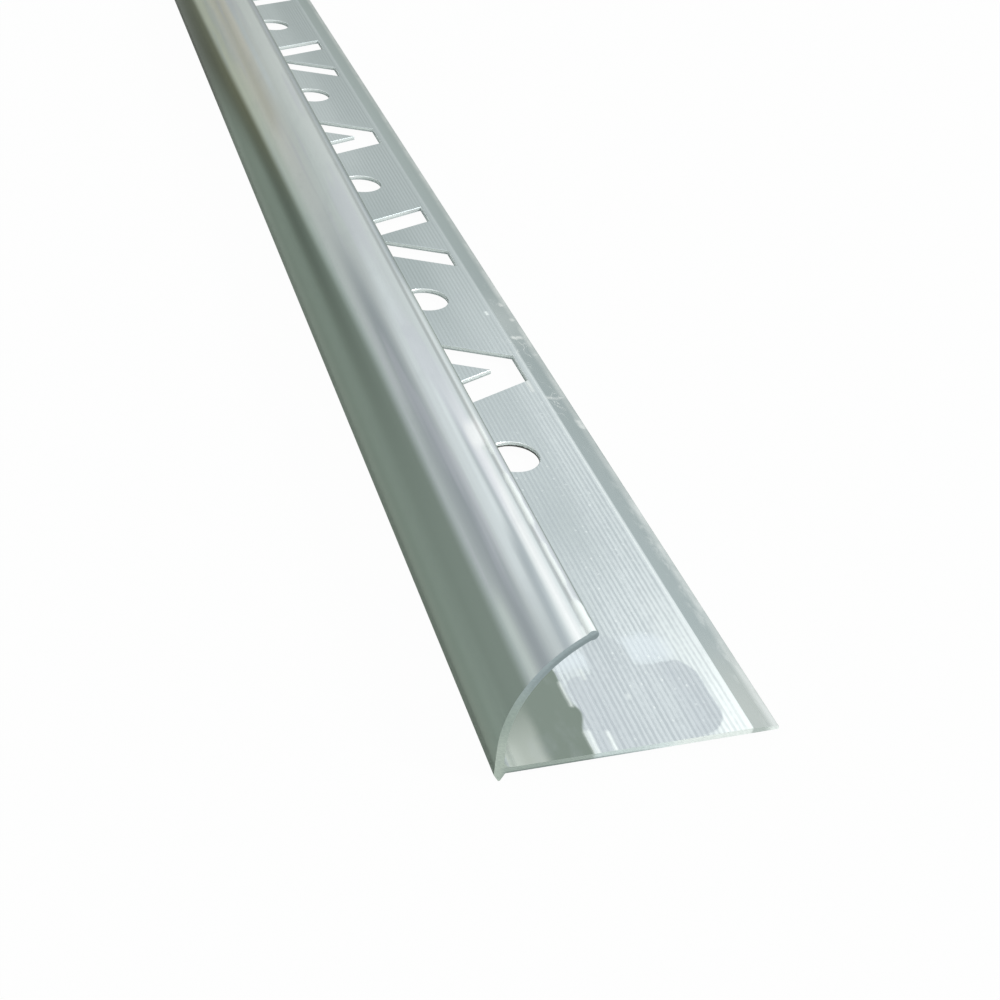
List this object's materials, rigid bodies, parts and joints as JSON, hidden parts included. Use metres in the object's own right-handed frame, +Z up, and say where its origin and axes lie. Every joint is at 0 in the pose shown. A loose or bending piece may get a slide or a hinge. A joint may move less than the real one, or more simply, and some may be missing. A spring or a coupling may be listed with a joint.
{
  "type": "quarter-round tile trim",
  "caption": "Long aluminium edge trim for tiles: a quarter-round face on a thin ribbed leg punched with round and V-shaped holes.",
  "frame": {"origin": "middle of the length and width, at the level of the foot's tip", "axes": "+X across the leg from the outer wall to the leg's edge, +Y along the length away from the near end, +Z up from the leg to the arc"},
  "size_m": [0.0238, 1, 0.0138],
  "materials": {
    "mill_aluminium": "mill finish, satin, with fine lengthwise extrusion lines"
  },
  "bodies": {
    "root": {"tile_trim": "mill_aluminium"}
  },
  "joints": []
}
